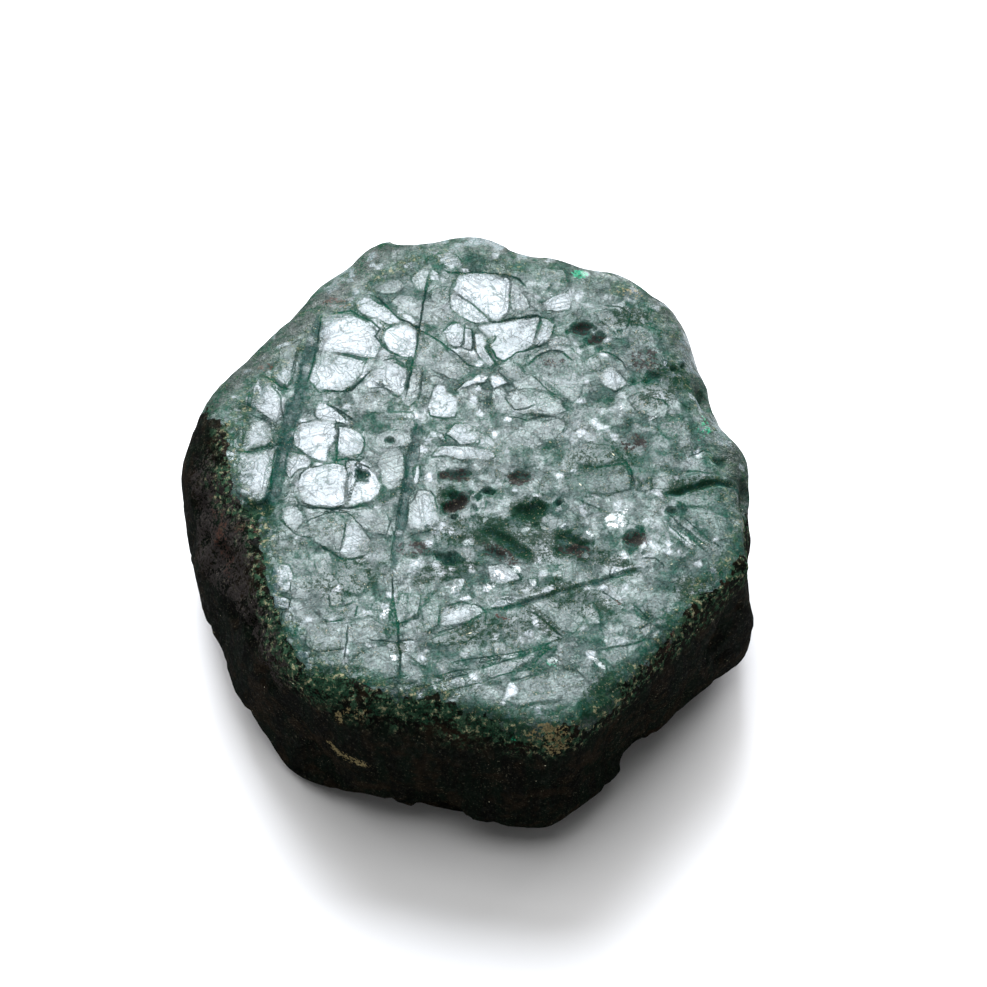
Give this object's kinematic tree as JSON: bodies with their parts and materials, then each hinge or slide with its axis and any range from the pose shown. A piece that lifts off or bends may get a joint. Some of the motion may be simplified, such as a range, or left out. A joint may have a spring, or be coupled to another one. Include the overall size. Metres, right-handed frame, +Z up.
{
  "type": "rough emerald",
  "caption": "Rough six-sided emerald crystal, short and thick, worn round at its edges, with a flat grooved and pitted top face and a flat base to rest on.",
  "frame": {"origin": "centre of the stone's outline, on the flat base it rests on", "axes": "+Z up through the crystal from its base to the grooved face, along the prism's own axis; +X to the right and +Y away from the camera in the picture"},
  "size_m": [0.0332, 0.0362, 0.0125],
  "materials": {
    "emerald": "nearly opaque dark green beryl, waxy sides and a glossy top face broken by grooves"
  },
  "bodies": {
    "root": {"emerald": "emerald"}
  },
  "joints": []
}
